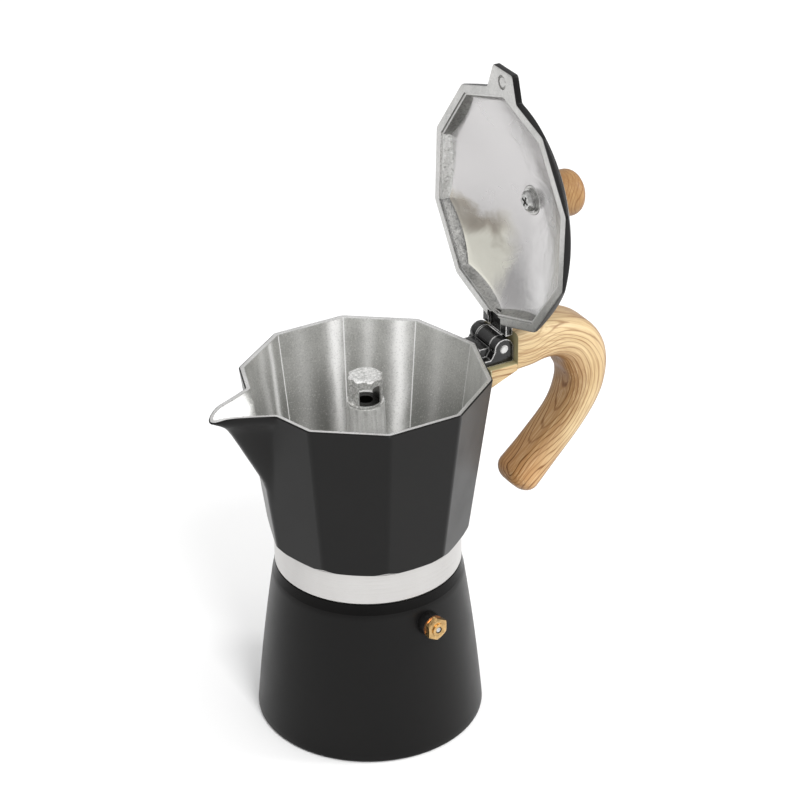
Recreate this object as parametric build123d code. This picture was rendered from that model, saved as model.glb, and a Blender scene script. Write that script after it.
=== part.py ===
from build123d import *
import math
import os

# A stove-top moka pot, in millimetres. The origin is the centre of the boiler's underside, +Z is up,
# the hinge and handle are towards +X, the spout is towards -X, and the lid stands open.

# Boiler
BASE_RADIUS = 50.0
BARREL_RADIUS, BARREL_HEIGHT = 46.5, 36.0
SHOULDER_RADIUS, SHOULDER_HEIGHT = 41.7, 70.7
BOILER_WALL, BOILER_FLOOR = 2.8, 3.2
BASE_EDGE = 1.6
BASE_GROOVES = (20, 32)
NECK_HEIGHT = 82.0
NECK_RADIUS = 35.6
MOUTH_RADIUS = 32.5

# Screw thread between boiler and upper chamber
THREAD_PITCH = 3.0
THREAD_TURNS = 1.0
MALE_CREST_RADIUS = 36.6
MALE_THREAD_BOTTOM, FEMALE_THREAD_BOTTOM = 77.6, 78.0
FEMALE_CREST_RADIUS = 37.0
FEMALE_ROOT_RADIUS = 38.0

# Turned ring and ten-sided body of the upper chamber
SIDES = 10
RING_RADIUS = 40.7
RING_BOTTOM, RING_TOP = 76.2, 90.6
RIM_HEIGHT = 165.5
RIM_CORNER_RADIUS = 54.0
TAPER = 0.136
CORNER_ROUNDING = 4.0
CHAMBER_WALL = 2.4
CHAMBER_FLOOR = 92.0
SEAT_RADIUS, SEAT_CEILING = 34.5, 88.0

# Coffee column and its cap
COLUMN_TOP = 152.0
COLUMN_TOP_RADIUS, COLUMN_FOOT_RADIUS = 8.0, 11.2
COLUMN_BORE_TOP, COLUMN_BORE_FOOT = 4.4, 5.8
FLUTES = 12
CAP_RADIUS, CAP_TOP = 7.5, 165.0
CAP_LOBES = 8
CAP_TURN = -10.0
OUTLET_WIDTH, OUTLET_HEIGHT = 9.4, 8.8

# Spout
SPOUT_TIP = 73.2
SPOUT_ROOT = 46.0
SPOUT_WALL = 2.0
LIP_HEIGHT = 163.0

# Hinge and the lug that carries it
HINGE_X, HINGE_Z = 61.8, 165.0
PIN_RADIUS = 1.6
EAR_RADIUS = 4.6
LUG_HALF_WIDTH = 10.5
LUG_BOTTOM = 158.2
EAR_SADDLE = 161.2
KNUCKLE_HALF_WIDTH = 5.3
SLOT_HALF_WIDTH = 5.7
LUG_FRONT = 56.9
LID_OPEN_ANGLE = 91.5

# Lid, described shut
LID_PLANE = 165.8
LID_CORNER_RADIUS = 54.6
LID_RIM_WIDTH = 4.5
LID_INNER_HEIGHT = 17.3
LID_INNER_SPHERE = 95.2
LID_OUTER_HEIGHT = 19.2
LID_OUTER_SPHERE = 93.0
LID_DRAFT = 0.32
SCREW_SEAT = 182.5
TAB_REACH, TAB_TIP_HALF, TAB_ROOT_HALF = 62.0, 7.5, 12.5

# Knob
KNOB_BOTTOM, KNOB_TOP = 186.3, 206.2
KNOB_RADIUS = 10.2
KNOB_BASE_RADIUS = 8.0
INSERT_RADIUS, INSERT_DEPTH = 3.6, 10.0
SCREW_HOLE, SCREW_RADIUS = 2.7, 2.4

# Handle
HANDLE_FRONT = 53.4
HANDLE_HALF_WIDTH = 13.6
HANDLE_SHELF = 158.1
HANDLE_REAR = 66.9
TENON_END, TENON_HALF_WIDTH = 81.0, 9.0
TENON_BOTTOM, TENON_TOP = 158.5, 164.5
HANDLE_SCREW_X = 74.5
SCREW_WELL, SCREW_WELL_TOP = 4.3, 156.9
HANDLE_SCREW_RADIUS = 1.9

# Safety valve
VALVE_DIRECTION, VALVE_HEIGHT = -82.5, 62.7
VALVE_FACE = 50.0
VALVE_HEX = 9.2
VALVE_SEAT_START, VALVE_BORE_END = 36.4, 47.6
VALVE_BOSS_RADIUS, VALVE_BOSS_END = 5.2, 46.4
VALVE_SHANK, VALVE_HOLE = 4.0, 4.05
WASHER_RADIUS, WASHER_TOP = 5.0, 47.1
STEM_HOLE, SPRING_BORE = 1.5, 2.8

# Funnel, gasket and filter
FLANGE_RADIUS, FLANGE_THICKNESS = 34.2, 0.8
BASKET_RADIUS, BASKET_WALL = 29.5, 0.8
BASKET_STEP, BASKET_CONE_END = 57.0, 47.0
TUBE_RADIUS, TUBE_BORE, TUBE_BOTTOM = 4.0, 3.2, 7.0
GASKET_BORE, GASKET_RADIUS = 27.0, 34.0
GASKET_BOTTOM, GASKET_TOP = 82.9, 86.9
FILTER_RADIUS, FILTER_THICKNESS = 30.5, 0.8

UP = (Align.CENTER, Align.CENTER, Align.MIN)


def rod(radius, low, high):
    return Pos(0, 0, low) * Cylinder(radius, high - low, align=UP)


def tube(radius, bore, low, high):
    return rod(radius, low, high) - rod(bore, low - 1, high + 1)


def turned(*points):
    """A solid of revolution about Z from (radius, height) corners."""
    outline = Plane.XZ * Polyline(*points, close=True)
    return revolve(make_face(outline), Axis.Z)


def block(x, y, z):
    """A box given by its (low, high) pair along each axis."""
    size = [high - low for low, high in (x, y, z)]
    centre = [(high + low) / 2 for low, high in (x, y, z)]
    return Pos(*centre) * Box(*size)


def side_plate(half_width, *points):
    """A plate across Y, with (x, z) corners."""
    face = make_face(Plane.XZ * Polyline(*points, close=True))
    return extrude(face, half_width, both=True)


def cross_rod(radius, x, z, half_width):
    """A rod along Y."""
    return Pos(x, 0, z) * Rot(90, 0, 0) * Cylinder(radius, 2 * half_width)


def corner_radius(height):
    """Corner radius of the ten-sided body at a height."""
    return RIM_CORNER_RADIUS - TAPER * (RIM_HEIGHT - height)


def decagon(radius, height, rounding):
    outline = RegularPolygon(radius, SIDES)
    if rounding:
        outline = fillet(outline.vertices(), rounding)
    return Pos(0, 0, height) * outline


def tapered_decagon(inset, low, high, rounding):
    ends = [decagon(corner_radius(z) - inset, z, rounding) for z in (low, high)]
    return loft(ends, ruled=True)


def thread(radius, depth, bottom):
    """A helical ridge whose crest points outwards, or inwards if depth is negative."""
    helix = Pos(0, 0, bottom) * Helix(THREAD_PITCH, THREAD_PITCH * THREAD_TURNS, radius)
    root = 0.42 * THREAD_PITCH
    start = Plane(origin=(radius, 0, bottom), x_dir=(1, 0, 0), z_dir=(0, 1, 0))
    # The start plane's own Y points down, which doesn't matter to a symmetrical ridge.
    ridge = start * Polyline((-0.3 * math.copysign(1, depth), -root), (depth, -0.15 * root),
                             (depth, 0.15 * root), (-0.3 * math.copysign(1, depth), root), close=True)
    return sweep(make_face(ridge), path=helix, is_frenet=True)


def on_valve(shape):
    """Moves a shape built along +Z onto the valve's horizontal axis."""
    angle = math.radians(VALVE_DIRECTION)
    outwards = (math.cos(angle), math.sin(angle), 0)
    return Plane(origin=(0, 0, VALVE_HEIGHT), x_dir=(0, 0, 1), z_dir=outwards) * shape


def on_lid(shape):
    """Swings a shape built on the shut lid to the open rest position."""
    to_hinge = Pos(HINGE_X, 0, HINGE_Z) * Rot(0, LID_OPEN_ANGLE, 0)
    return to_hinge * Pos(-HINGE_X, 0, -HINGE_Z) * shape


def boiler():
    edge = BASE_EDGE
    cut = edge * (1 - math.sqrt(0.5))
    outside = [
        Polyline((0, 0), (BASE_RADIUS - edge, 0)),
        ThreePointArc((BASE_RADIUS - edge, 0), (BASE_RADIUS - cut, cut), (BASE_RADIUS, edge)),
        ThreePointArc((BASE_RADIUS, edge), (BARREL_RADIUS, BARREL_HEIGHT),
                      (SHOULDER_RADIUS, SHOULDER_HEIGHT)),
        Polyline((SHOULDER_RADIUS, SHOULDER_HEIGHT), (RING_RADIUS, RING_BOTTOM - 0.4),
                 (NECK_RADIUS, RING_BOTTOM - 0.4), (NECK_RADIUS, NECK_HEIGHT), (MOUTH_RADIUS, NECK_HEIGHT),
                 (MOUTH_RADIUS, RING_BOTTOM - 2), (SHOULDER_RADIUS - BOILER_WALL, SHOULDER_HEIGHT - 5)),
        ThreePointArc((SHOULDER_RADIUS - BOILER_WALL, SHOULDER_HEIGHT - 5),
                      (BARREL_RADIUS - BOILER_WALL, BARREL_HEIGHT),
                      (BASE_RADIUS - BOILER_WALL, BOILER_FLOOR + 3)),
        Polyline((BASE_RADIUS - BOILER_WALL, BOILER_FLOOR + 3), (BASE_RADIUS - BOILER_WALL - 3, BOILER_FLOOR),
                 (0, BOILER_FLOOR), (0, 0)),
    ]
    body = revolve(make_face([Plane.XZ * part for part in outside]), Axis.Z)
    body += thread(NECK_RADIUS, MALE_CREST_RADIUS - NECK_RADIUS, MALE_THREAD_BOTTOM)
    body += on_valve(rod(VALVE_BOSS_RADIUS, 39.5, VALVE_BOSS_END))
    body -= on_valve(rod(VALVE_HOLE, 30, 60))
    for groove in BASE_GROOVES:
        body -= tube(groove + 1.2, groove - 1.2, -1, 0.5)
    return body


def valve_body():
    outline = RegularPolygon(VALVE_HEX / 2, 6, major_radius=False)
    hexagon = Pos(0, 0, WASHER_TOP) * extrude(outline, VALVE_FACE - WASHER_TOP)
    hexagon &= turned((0, 40), (6, 40), (6, VALVE_FACE - 0.7), (4.3, VALVE_FACE), (0, VALVE_FACE))
    body = hexagon + rod(VALVE_SHANK, VALVE_SEAT_START, WASHER_TOP) + rod(2.9, VALVE_FACE, VALVE_FACE + 0.6)
    body -= rod(SPRING_BORE, VALVE_SEAT_START - 1, VALVE_BORE_END)
    body -= rod(STEM_HOLE, VALVE_BORE_END - 1, VALVE_FACE + 2)
    return on_valve(body)


def valve_seat():
    return on_valve(tube(SPRING_BORE, 1.4, VALVE_SEAT_START, VALVE_SEAT_START + 1.4))


def valve_plunger():
    head = VALVE_SEAT_START + 1.4
    return on_valve(rod(2.4, head, head + 1.2) + rod(1.1, head + 1.2, VALVE_FACE + 0.3))


def valve_spring():
    start, end = VALVE_SEAT_START + 2.9, VALVE_BORE_END - 0.3
    wire = 0.28
    helix = Pos(0, 0, start) * Helix(1.7, end - start, 2.0)
    section = Plane(origin=helix @ 0, z_dir=helix % 0) * Circle(wire)
    return on_valve(sweep(section, path=helix, is_frenet=True))


def valve_washer():
    return on_valve(tube(WASHER_RADIUS, VALVE_HOLE, VALVE_BOSS_END, WASHER_TOP))


def funnel_basket():
    flange_top = NECK_HEIGHT + FLANGE_THICKNESS
    wall = BASKET_WALL
    return turned(
        (FLANGE_RADIUS, NECK_HEIGHT), (FLANGE_RADIUS, flange_top), (BASKET_RADIUS - wall, flange_top),
        (BASKET_RADIUS - wall, BASKET_STEP), (BASKET_RADIUS - 2.2, BASKET_STEP),
        (TUBE_RADIUS + 0.05, BASKET_CONE_END), (TUBE_RADIUS + 0.05, BASKET_CONE_END - 5),
        (TUBE_RADIUS + 0.9, BASKET_CONE_END - 5), (TUBE_RADIUS + 0.9, BASKET_CONE_END - 0.5),
        (BASKET_RADIUS - 1.4, BASKET_STEP - wall), (BASKET_RADIUS, BASKET_STEP - wall),
        (BASKET_RADIUS, NECK_HEIGHT),
    )


def funnel_tube():
    return tube(TUBE_RADIUS, TUBE_BORE, TUBE_BOTTOM, BASKET_CONE_END)


def perforated(radius, low, high, hole, rings, step):
    """A disc with rings of holes, six more holes in each ring."""
    disc = rod(radius, low, high)
    holes = [Pos(0, 0, low - 1) * Cylinder(hole, high - low + 2, align=UP)]
    for ring in range(1, rings + 1):
        holes += PolarLocations(ring * step, 6 * ring) * rod(hole, low - 1, high + 1)
    return disc - holes


def funnel_plate():
    return perforated(BASKET_RADIUS - BASKET_WALL - 0.1, BASKET_STEP, BASKET_STEP + 0.8, 0.8, 5, 4.9)


def gasket():
    return tube(GASKET_RADIUS, GASKET_BORE, GASKET_BOTTOM, GASKET_TOP)


def filter_plate():
    return perforated(FILTER_RADIUS, GASKET_TOP, GASKET_TOP + FILTER_THICKNESS, 0.7, 5, 4.4)


def spout_section(height, root, nose, half_width, rounding):
    """A level slice of the spout: a wedge whose sides curve in towards its nose."""
    middle = (root + nose) / 2
    narrow = half_width * 0.5 + rounding * 0.4
    side = ThreePointArc((-root, half_width), (-middle, narrow), (-nose + rounding, rounding))
    tip = ThreePointArc((-nose + rounding, rounding), (-nose, 0), (-nose + rounding, -rounding))
    face = make_face([side, tip, mirror(side, Plane.XZ), Line((-root, -half_width), (-root, half_width))])
    return Pos(0, 0, height) * face


def spout(inset, rise):
    """The spout's form, drawn in by inset and lifted by rise."""
    root = SPOUT_ROOT - 2 * inset
    top = RIM_HEIGHT + rise * 0.2
    slices = [
        spout_section(124.5 + rise, root, 48.2 - inset, 4.0 - inset * 0.5, 0.8),
        spout_section(142.0 + rise, root, 57.0 - inset, 9.2 - inset * 0.6, 1.6),
        spout_section(157.6 + rise, root, 65.4 - inset, 13.2 - inset * 0.7, 2.4),
        spout_section(162.4 + rise * 0.2, root, 73.0 - inset, 14.6 - inset * 0.8, 3.2 - inset * 0.3),
        spout_section(top, root, SPOUT_TIP - inset, 15.2 - inset * 0.8, 3.8 - inset * 0.3),
    ]
    return loft(slices, ruled=True)


def lip_cut():
    """What the pouring lip's dip takes off the rim."""
    over = RIM_HEIGHT + 5
    tip = -SPOUT_TIP
    return side_plate(12, (tip - 2, LIP_HEIGHT - 0.6), (tip, LIP_HEIGHT), (tip + 2.4, LIP_HEIGHT + 1),
                      (tip + 5, RIM_HEIGHT - 0.5), (tip + 8, RIM_HEIGHT + 0.1), (tip + 8, over),
                      (tip - 2, over))


def lug():
    """The cast lug: two ears for the hinge pin, and a tenon that enters the handle."""
    half = LUG_HALF_WIDTH
    rear = HINGE_X + EAR_RADIUS
    gap = SLOT_HALF_WIDTH
    shape = side_plate(half, (48.0, LUG_BOTTOM), (rear, LUG_BOTTOM), (rear, HINGE_Z), (HINGE_X - 3, HINGE_Z),
                       (LUG_FRONT - 1.5, EAR_SADDLE), (48.0, EAR_SADDLE))
    shape += block((48.0, LUG_FRONT), (-gap, gap), (EAR_SADDLE - 1, RIM_HEIGHT))
    shape += cross_rod(EAR_RADIUS, HINGE_X, HINGE_Z, half)
    shape += block((rear - 4, TENON_END), (-TENON_HALF_WIDTH, TENON_HALF_WIDTH),
                   (TENON_BOTTOM, TENON_TOP))
    shape -= block((LUG_FRONT, rear + 0.3), (-gap, gap), (HINGE_Z - EAR_RADIUS - 0.4, HINGE_Z + 10))
    shape -= cross_rod(PIN_RADIUS + 0.02, HINGE_X, HINGE_Z, half + 1)
    shape -= Pos(HANDLE_SCREW_X, 0, 0) * rod(1.95, LUG_BOTTOM - 1, TENON_TOP - 2)
    return shape


def column():
    bottom = CHAMBER_FLOOR - 1
    lean = (COLUMN_FOOT_RADIUS - COLUMN_TOP_RADIUS) / (COLUMN_TOP - CHAMBER_FLOOR)
    post = turned((0, bottom), (24.5, bottom), (COLUMN_FOOT_RADIUS + 1, CHAMBER_FLOOR + 9),
                  (COLUMN_FOOT_RADIUS - lean * 9, CHAMBER_FLOOR + 9.6), (COLUMN_TOP_RADIUS, COLUMN_TOP),
                  (0, COLUMN_TOP))
    flute = Cone(1.3, 1.0, COLUMN_TOP - CHAMBER_FLOOR - 14, align=UP)
    leaning = Rot(0, -math.degrees(lean), 0) * flute
    placed = Pos(COLUMN_FOOT_RADIUS - lean * 12 + 0.7, 0, CHAMBER_FLOOR + 12) * leaning
    return post - PolarLocations(0, FLUTES) * placed


def upper_chamber():
    top = RIM_HEIGHT
    body = tapered_decagon(0, RING_TOP, top, CORNER_ROUNDING)
    body &= turned((0, RING_TOP - 1), (RING_RADIUS, RING_TOP - 1), (RING_RADIUS, RING_TOP), (42.6, 91.4),
                   (44.4, 93.4), (46.0, 97.0), (62, 100), (62, top + 1), (0, top + 1))
    body += rod(RING_RADIUS, RING_BOTTOM, RING_TOP)
    body += spout(0, 0)
    body += lug() - tapered_decagon(1, RING_TOP, top + 20, 0)
    cavity = tapered_decagon(CHAMBER_WALL, CHAMBER_FLOOR, top + 10, 0)
    cavity &= turned((0, CHAMBER_FLOOR), (38.0, CHAMBER_FLOOR), (41.0, 94.0), (43.0, 98.0), (60, 100),
                     (60, top + 20), (0, top + 20))
    body -= cavity
    body -= spout(SPOUT_WALL, 3.0)
    body -= lip_cut()
    body += column()
    body -= turned((0, 70), (FEMALE_ROOT_RADIUS, 70), (FEMALE_ROOT_RADIUS, NECK_HEIGHT + 0.6),
                   (SEAT_RADIUS, NECK_HEIGHT + 0.6), (SEAT_RADIUS, SEAT_CEILING), (24, SEAT_CEILING),
                   (8, CHAMBER_FLOOR + 6.5), (COLUMN_BORE_FOOT, CHAMBER_FLOOR + 11),
                   (COLUMN_BORE_TOP, COLUMN_TOP + 1), (0, COLUMN_TOP + 1))
    body += thread(FEMALE_ROOT_RADIUS, FEMALE_CREST_RADIUS - FEMALE_ROOT_RADIUS, FEMALE_THREAD_BOTTOM)
    return body


def column_cap():
    lobes = cap_outline()
    body = Pos(0, 0, COLUMN_TOP) * extrude(lobes, CAP_TOP - COLUMN_TOP)
    body &= turned((0, COLUMN_TOP), (CAP_RADIUS + 1, COLUMN_TOP), (CAP_RADIUS + 1, CAP_TOP - 1.2),
                   (CAP_RADIUS - 1.2, CAP_TOP), (0, CAP_TOP))
    body += rod(COLUMN_TOP_RADIUS - 0.1, COLUMN_TOP, COLUMN_TOP + 1)
    body += rod(COLUMN_BORE_TOP - 0.04, COLUMN_TOP - 5, COLUMN_TOP)
    body -= rod(3.2, COLUMN_TOP - 6, COLUMN_TOP + 9)
    outlet = block((-OUTLET_WIDTH / 2, OUTLET_WIDTH / 2), (-20, 20),
                   (COLUMN_TOP + 1, COLUMN_TOP + 1 + OUTLET_HEIGHT))
    return Rot(0, 0, CAP_TURN) * (body - outlet)


def cap_outline():
    lobe = Circle(2.2)
    ring = PolarLocations(CAP_RADIUS - 2.1, CAP_LOBES) * lobe
    return Circle(CAP_RADIUS - 0.7) + ring


def lid():
    plane = LID_PLANE
    apothem = math.cos(math.pi / SIDES)
    inner = LID_CORNER_RADIUS - LID_RIM_WIDTH / apothem
    centre = plane + LID_INNER_HEIGHT - LID_INNER_SPHERE
    outline = [decagon(LID_CORNER_RADIUS, z, CORNER_ROUNDING - 0.5) for z in (plane, plane + 30)]
    shell = loft(outline, ruled=True)
    tab = make_face(Polyline((-48, TAB_ROOT_HALF), (-TAB_REACH, TAB_TIP_HALF), (-TAB_REACH, -TAB_TIP_HALF),
                             (-48, -TAB_ROOT_HALF), close=True))
    tab = fillet(tab.vertices().sort_by(Axis.X)[:2], 2)
    shell &= Pos(0, 0, plane + LID_OUTER_HEIGHT - LID_OUTER_SPHERE) * Sphere(LID_OUTER_SPHERE)
    shell += Pos(0, 0, plane) * extrude(tab, 3.2)
    shell += block((46, 56.4), (-9.5, 9.5), (plane, plane + 3.6))
    cavity = loft([decagon(inner - LID_DRAFT * z, plane + z, 0) for z in (-1, 30)], ruled=True)
    cavity += Pos(0, 0, plane - 1) * extrude(RegularPolygon(inner + 1.1, SIDES), 1.8)
    cavity &= Pos(0, 0, centre) * Sphere(LID_INNER_SPHERE)
    shell -= cavity
    shell += rod(6.4, SCREW_SEAT, plane + LID_INNER_HEIGHT + 1)
    shell -= block((49.8, 70), (-KNUCKLE_HALF_WIDTH, KNUCKLE_HALF_WIDTH),
                   (plane - 1, plane + 1.6))
    shell -= Pos(-56.5, 0, plane - 1) * Cylinder(3.4, 1.5, align=UP)
    arm = side_plate(KNUCKLE_HALF_WIDTH, (48.5, plane + 1.6), (48.5, plane + 3.7), (57.0, plane + 3.7),
                     (HINGE_X, HINGE_Z + 4.2), (HINGE_X, HINGE_Z), (HINGE_X - 4.2, HINGE_Z + 1.6),
                     (57.4, plane + 1.6))
    shell += arm + cross_rod(EAR_RADIUS - 0.3, HINGE_X, HINGE_Z, KNUCKLE_HALF_WIDTH)
    shell -= cross_rod(PIN_RADIUS + 0.06, HINGE_X, HINGE_Z, 20)
    shell -= rod(SCREW_HOLE, SCREW_SEAT - 1, plane + 40)
    return on_lid(shell)


def hinge_pin():
    return cross_rod(PIN_RADIUS, HINGE_X, HINGE_Z, LUG_HALF_WIDTH + 0.2)


def lid_top():
    return LID_PLANE + LID_OUTER_HEIGHT


def knob_spacer():
    return on_lid(tube(6.5, SCREW_HOLE, lid_top(), KNOB_BOTTOM))


def lid_knob():
    dome = KNOB_TOP - 4.5
    outline = [
        Polyline((0, KNOB_BOTTOM), (KNOB_BASE_RADIUS, KNOB_BOTTOM)),
        ThreePointArc((KNOB_BASE_RADIUS, KNOB_BOTTOM), (9.6, KNOB_BOTTOM + 7), (KNOB_RADIUS, dome - 2)),
        ThreePointArc((KNOB_RADIUS, dome - 2), (KNOB_RADIUS - 2.6, KNOB_TOP - 1.8), (1, KNOB_TOP)),
        Polyline((1, KNOB_TOP), (0, KNOB_TOP), (0, KNOB_BOTTOM)),
    ]
    body = revolve(make_face([Plane.XZ * part for part in outline]), Axis.Z)
    return on_lid(body - rod(INSERT_RADIUS, KNOB_BOTTOM - 1, KNOB_BOTTOM + INSERT_DEPTH))


def knob_insert():
    return on_lid(tube(INSERT_RADIUS, SCREW_RADIUS + 0.05, KNOB_BOTTOM, KNOB_BOTTOM + INSERT_DEPTH))


def knob_washer():
    return on_lid(tube(5.2, SCREW_HOLE, SCREW_SEAT - 1, SCREW_SEAT))


def knob_screw():
    seat = SCREW_SEAT - 1
    head = turned((0, seat - 2.3), (3.2, seat - 2.3), (4.5, seat - 1.2), (4.5, seat), (0, seat))
    screw = head + rod(SCREW_RADIUS, seat, KNOB_BOTTOM + 8.5)
    for turn in (0, 90):
        screw -= Rot(0, 0, turn + 20) * block((-2.4, 2.4), (-0.55, 0.55), (seat - 3, seat - 1.0))
    return on_lid(screw)


def handle_section(point, direction, half_width, half_depth, rounding):
    """A rounded slice across the handle at an (x, z) point, facing an (x, z) direction."""
    plane = Plane(origin=(point[0], 0, point[1]), x_dir=(0, 1, 0), z_dir=(direction[0], 0, direction[1]))
    return plane * RectangleRounded(2 * half_width, 2 * half_depth, rounding)


def handle():
    # The grip's centre line, with each slice's facing direction, half width and half depth.
    slices = [
        ((HANDLE_REAR, 163.2), (1, 0), 13.6, 8.7, 2.0),
        ((75.0, 163.4), (1, 0), 13.5, 8.9, 3.0),
        ((83.6, 163.35), (0.99, -0.14), 13.2, 8.65, 4.6),
        ((92.4, 161.5), (0.93, -0.37), 12.9, 9.1, 6.4),
        ((100.6, 156.65), (0.75, -0.66), 12.6, 10.4, 8.0),
        ((105.5, 148.6), (0.42, -0.91), 12.4, 10.9, 8.4),
        ((107.2, 139.5), (0, -1), 12.2, 9.4, 8.0),
        ((105.4, 130.0), (-0.38, -0.92), 11.8, 8.0, 7.2),
        ((98.8, 118.1), (-0.65, -0.76), 11.0, 6.9, 6.5),
        ((86.1, 104.3), (-0.7, -0.71), 10.8, 7.1, 6.5),
        ((74.4, 92.6), (-0.7, -0.71), 10.8, 7.7, 6.4),
        ((71.9, 90.1), (-0.7, -0.71), 9.2, 6.1, 5.2),
    ]
    grip = loft([handle_section(*one) for one in slices])
    shelf = side_plate(HANDLE_HALF_WIDTH, (HANDLE_FRONT, 149.2), (HANDLE_REAR + 4, 155.0),
                       (HANDLE_REAR + 4, HANDLE_SHELF), (HANDLE_FRONT, HANDLE_SHELF))
    body = grip + shelf
    room = 0.1
    body -= block((HANDLE_REAR - 1, TENON_END + room), (-TENON_HALF_WIDTH - room, TENON_HALF_WIDTH + room),
                  (TENON_BOTTOM - room, TENON_TOP + room))
    body -= Pos(HANDLE_SCREW_X, 0, 0) * (rod(SCREW_WELL, 140, SCREW_WELL_TOP) + rod(2.1, 150, 163))
    return body


def handle_washer():
    return Pos(HANDLE_SCREW_X, 0, 0) * tube(4.1, 2.1, SCREW_WELL_TOP - 0.8, SCREW_WELL_TOP)


def handle_screw():
    seat = SCREW_WELL_TOP - 0.8
    screw = rod(3.6, seat - 2.4, seat) + rod(HANDLE_SCREW_RADIUS, seat, TENON_TOP - 2.4)
    for turn in (0, 90):
        screw -= Rot(0, 0, turn + 30) * block((-2.0, 2.0), (-0.5, 0.5), (seat - 3, seat - 1.1))
    return Pos(HANDLE_SCREW_X, 0, 0) * screw


PARTS = [
    boiler, valve_body, valve_seat, valve_plunger, valve_spring, valve_washer,
    funnel_basket, funnel_tube, funnel_plate, gasket, filter_plate,
    upper_chamber, column_cap, hinge_pin, handle, handle_screw, handle_washer,
    lid, lid_knob, knob_spacer, knob_insert, knob_screw, knob_washer,
]

os.makedirs("parts", exist_ok=True)
for make in PARTS:
    export_step(make(), f"parts/{make.__name__}.step")
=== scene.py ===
from math import atan2, copysign, cos, hypot, pi, radians, sin, sqrt, tan
import bmesh
import bpy
from mathutils import Matrix, Vector


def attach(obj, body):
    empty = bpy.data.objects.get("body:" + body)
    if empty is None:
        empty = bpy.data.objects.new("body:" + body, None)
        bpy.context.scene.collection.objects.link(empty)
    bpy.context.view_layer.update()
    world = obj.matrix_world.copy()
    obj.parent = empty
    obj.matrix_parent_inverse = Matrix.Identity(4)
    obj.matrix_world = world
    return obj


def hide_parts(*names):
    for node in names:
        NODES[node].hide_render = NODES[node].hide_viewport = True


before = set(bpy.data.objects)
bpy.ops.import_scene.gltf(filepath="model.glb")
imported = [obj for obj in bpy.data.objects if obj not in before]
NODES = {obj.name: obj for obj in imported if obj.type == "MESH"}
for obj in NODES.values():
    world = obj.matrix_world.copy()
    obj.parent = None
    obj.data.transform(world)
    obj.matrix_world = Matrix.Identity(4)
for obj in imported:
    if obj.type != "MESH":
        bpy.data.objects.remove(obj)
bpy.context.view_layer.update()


# ---- camera and studio

def add_object(name, data):
    obj = bpy.data.objects.new(name, data)
    bpy.context.scene.collection.objects.link(obj)
    return obj


CAMERA_DEGREES = (-29.11, 29.51, -0.53)  # azimuth, elevation, roll
CAMERA_AIM = Vector((0, 0, 0.090))
CAMERA_RIGHT, CAMERA_UP, CAMERA_BACK = 0.0140, 0.05449, 1.22522
FOCAL_LENGTH, SENSOR_WIDTH = 127.3, 36
SKY = {"From Min": -0.05, "From Max": 0.75, "To Min": 0.42, "To Max": 1.04}
FLOOR_HALF = 6


def make_camera():
    azimuth, elevation, roll = (radians(a) for a in CAMERA_DEGREES)
    back = Vector((sin(azimuth) * cos(elevation), -cos(azimuth) * cos(elevation), sin(elevation)))
    level = Vector((cos(azimuth), sin(azimuth), 0))
    rise = back.cross(level)
    right = level * cos(roll) + rise * sin(roll)
    up = rise * cos(roll) - level * sin(roll)
    place = CAMERA_AIM + right * CAMERA_RIGHT + up * CAMERA_UP + back * CAMERA_BACK
    data = bpy.data.cameras.new("camera")
    data.lens = FOCAL_LENGTH
    data.sensor_width = SENSOR_WIDTH
    data.clip_end = 20
    camera = add_object("camera", data)
    turn = Matrix((right, up, back)).transposed()
    camera.matrix_world = Matrix.Translation(place) @ turn.to_4x4()
    bpy.context.scene.camera = camera


def area_light(name, place, power):
    """A white rectangular light aimed at the middle of the pot."""
    data = bpy.data.lights.new(name, "AREA")
    data.shape = "RECTANGLE"
    data.size, data.size_y = 0.5, 0.9
    data.energy = power
    light = add_object(name, data)
    light.location = place
    light.rotation_euler = (Vector((0, 0, 0.12)) - Vector(place)).to_track_quat("-Z", "Y").to_euler()


def make_studio():
    bpy.context.scene.view_settings.view_transform = "Standard"
    world = bpy.data.worlds.new("studio")
    bpy.context.scene.world = world
    world.use_nodes = True
    nodes, links = world.node_tree.nodes, world.node_tree.links
    parts = nodes.new("ShaderNodeSeparateXYZ")
    links.new(nodes.new("ShaderNodeTexCoord").outputs["Generated"], parts.inputs[0])
    height = nodes.new("ShaderNodeMapRange")
    for key, value in SKY.items():
        height.inputs[key].default_value = value
    links.new(parts.outputs[2], height.inputs["Value"])
    links.new(height.outputs[0], nodes["Background"].inputs["Strength"])
    nodes["Background"].inputs["Color"].default_value = (1, 1, 1, 1)
    area_light("key", (-0.18, -1.35, 1.35), 20)
    area_light("fill", (1.3, -0.65, 0.9), 12)
    mesh = bpy.data.meshes.new("floor")
    mesh.from_pydata([(x * FLOOR_HALF, y * FLOOR_HALF, 0) for x, y in ((-1, -1), (1, -1), (1, 1), (-1, 1))],
                     [], [(0, 1, 2, 3)])
    finish = Finish("floor", base_color=(0.9, 0.9, 0.9), roughness=0.9, specular_ior_level=0.1)
    mesh.materials.append(finish.material)
    floor = add_object("floor", mesh)


# ---- shader helper

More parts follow.
